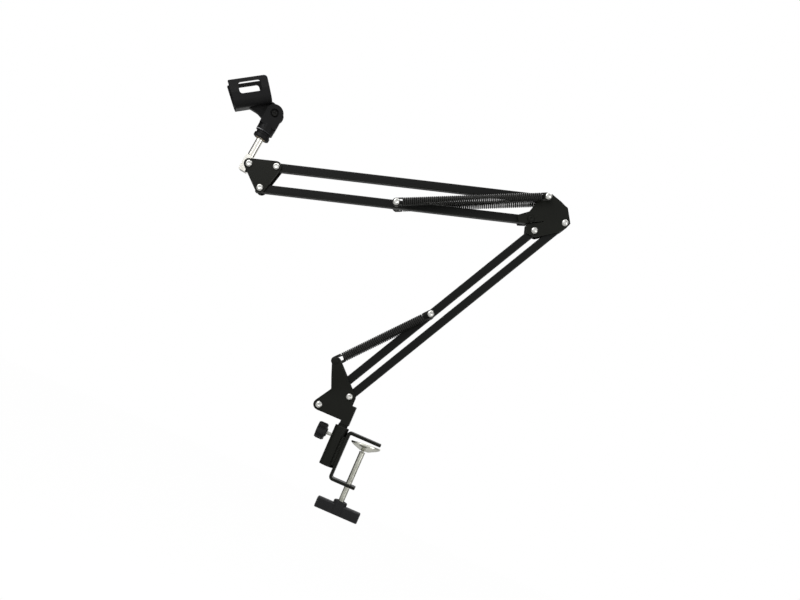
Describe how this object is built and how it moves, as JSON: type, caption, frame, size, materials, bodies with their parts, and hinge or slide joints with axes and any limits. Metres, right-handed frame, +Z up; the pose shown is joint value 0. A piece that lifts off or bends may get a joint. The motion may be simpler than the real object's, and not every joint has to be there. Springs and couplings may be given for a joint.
{
  "type": "microphone boom arm",
  "caption": "Sprung double-bar boom arm on a desk clamp with a swivelling sleeve, a T-handle clamp screw and a tilting plastic microphone clip.",
  "frame": {"origin": "centre of the upper jaw's clamping face, on the clamp screw's axis", "axes": "+Z up along the sleeve and the clamp screw, +X out of the clamp's throat, +Y away from the viewer of the reference"},
  "size_m": [0.4559, 0.0524, 0.4679],
  "materials": {
    "black_paint": "satin black powder coat",
    "black_plastic": "matt moulded black plastic",
    "nickel_plate": "bright nickel plate",
    "zinc_plate": "bright zinc plate",
    "black_spring_steel": "black oxide",
    "brass": "turned"
  },
  "bodies": {
    "clamp": {"clamp_frame": "black_paint", "pivot_sleeve": "black_paint"},
    "thumb_screw": {"thumb_screw_stud": "zinc_plate", "thumb_screw_knob": "black_plastic"},
    "clamp_pad": {"swivel_pad": "nickel_plate"},
    "clamp_screw": {"clamp_screw": "nickel_plate", "clamp_handle": "black_plastic"},
    "arm_base": {"base_bracket": "black_paint", "pivot_pin": "black_paint", "spring_rivet_front": "black_paint", "spring_rivet_rear": "black_paint", "base_bolt_left": "zinc_plate", "base_nut_left": "zinc_plate", "base_bolt_right": "zinc_plate", "base_nut_right": "zinc_plate"},
    "lower_bar_left": {"lower_bar_left": "black_paint", "lower_spring_bolt": "zinc_plate", "lower_spring_nut": "zinc_plate", "lower_spring_front": "black_spring_steel", "lower_spring_rear": "black_spring_steel"},
    "lower_bar_right": {"lower_bar_right": "black_paint"},
    "elbow": {"elbow_plate_front": "black_paint", "elbow_plate_rear": "black_paint", "elbow_bolt_left": "zinc_plate", "elbow_nut_left": "zinc_plate", "elbow_bolt_right": "zinc_plate", "elbow_nut_right": "zinc_plate", "elbow_bolt_top": "zinc_plate", "elbow_nut_top": "zinc_plate", "elbow_bolt_inner": "black_paint", "elbow_nut_inner": "black_paint", "elbow_spacer_inner_front": "zinc_plate", "elbow_spacer_inner_rear": "zinc_plate", "elbow_spacer_top_front": "zinc_plate", "elbow_spacer_top_rear": "zinc_plate", "elbow_spring_spacer_front": "zinc_plate", "elbow_spring_spacer_rear": "zinc_plate"},
    "upper_bar_bottom": {"upper_bar_bottom": "black_paint", "upper_spring_bolt": "zinc_plate", "upper_spring_nut": "zinc_plate", "upper_spring_front": "black_spring_steel", "upper_spring_rear": "black_spring_steel", "upper_spring_spacer_front": "zinc_plate", "upper_spring_spacer_rear": "zinc_plate"},
    "upper_bar_top": {"upper_bar_top": "black_paint"},
    "head": {"head_plate_front": "black_paint", "head_plate_rear": "black_paint", "head_bolt_swivel": "zinc_plate", "head_nut_swivel": "zinc_plate", "head_bolt_top": "zinc_plate", "head_nut_top": "zinc_plate", "head_bolt_bottom": "zinc_plate", "head_nut_bottom": "zinc_plate"},
    "head_swivel": {"swivel_block": "nickel_plate", "mic_rod": "nickel_plate"},
    "clip_base": {"clip_base": "black_plastic", "clip_insert": "brass", "clip_screw": "black_spring_steel", "clip_nut": "zinc_plate"},
    "mic_clip": {"mic_clip": "black_plastic"}
  },
  "joints": [
    {"name": "base_swivel", "type": "hinge", "parent": "clamp", "child": "arm_base", "pos_m": [-0.0351, 0, 0.005], "axis": [0, 0, 1], "continuous": true},
    {"name": "thumb_screw_turn", "type": "hinge", "parent": "clamp", "child": "thumb_screw", "pos_m": [-0.0441, 0, -0.0095], "axis": [1, 0, 0], "continuous": true},
    {"name": "clamp_travel", "type": "slide", "parent": "clamp", "child": "clamp_pad", "axis": [0, 0, 1], "range_m": [-0.03625, 0.00175]},
    {"name": "clamp_screw_turn", "type": "hinge", "parent": "clamp_pad", "child": "clamp_screw", "pos_m": [0, 0, -0.06], "axis": [0, 0, 1], "range_deg": [-10440, 504]},
    {"name": "lower_arm_tilt", "type": "hinge", "parent": "arm_base", "child": "lower_bar_left", "pos_m": [-0.0723, 0, 0.019], "axis": [0, -1, 0], "range_deg": [-9.5, 32], "deforming": ["lower_spring_front", "lower_spring_rear"]},
    {"name": "lower_link_tilt", "type": "hinge", "parent": "arm_base", "child": "lower_bar_right", "pos_m": [-0.04168, 0, 0.0425], "axis": [0, -1, 0], "range_deg": [-9.5, 32]},
    {"name": "elbow_level", "type": "hinge", "parent": "lower_bar_left", "child": "elbow", "pos_m": [0.08522, 0, 0.32031], "axis": [0, -1, 0], "range_deg": [-32, 9.5]},
    {"name": "upper_arm_tilt", "type": "hinge", "parent": "elbow", "child": "upper_bar_bottom", "pos_m": [0.07552, 0, 0.33111], "axis": [0, -1, 0], "range_deg": [-65, 35], "deforming": ["upper_spring_front", "upper_spring_rear"]},
    {"name": "upper_link_tilt", "type": "hinge", "parent": "elbow", "child": "upper_bar_top", "pos_m": [0.08373, 0, 0.36286], "axis": [0, -1, 0], "range_deg": [-65, 35]},
    {"name": "head_level", "type": "hinge", "parent": "upper_bar_bottom", "child": "head", "pos_m": [-0.24518, 0, 0.23428], "axis": [0, -1, 0], "range_deg": [-35, 65]},
    {"name": "head_swivel_tilt", "type": "hinge", "parent": "head", "child": "head_swivel", "pos_m": [-0.26917, 0, 0.25614], "axis": [0, -1, 0], "range_deg": [-30, 90]},
    {"name": "clip_turn", "type": "hinge", "parent": "head_swivel", "child": "clip_base", "pos_m": [-0.26667, 0, 0.32485], "axis": [0.1045, 0, 0.9945], "continuous": true},
    {"name": "clip_tilt", "type": "hinge", "parent": "clip_base", "child": "mic_clip", "pos_m": [-0.26667, 0, 0.32485], "axis": [0.2574, -0.9659, -0.0271], "range_deg": [-80, 20]}
  ],
  "couplings": [
    {"joint": "clamp_travel", "follows": "clamp_screw_turn", "m_per_rad": 0.00019894},
    {"joint": "lower_link_tilt", "follows": "lower_arm_tilt", "ratio": 1},
    {"joint": "elbow_level", "follows": "lower_arm_tilt", "ratio": -1},
    {"joint": "upper_link_tilt", "follows": "upper_arm_tilt", "ratio": 1},
    {"joint": "head_level", "follows": "upper_arm_tilt", "ratio": -1}
  ]
}
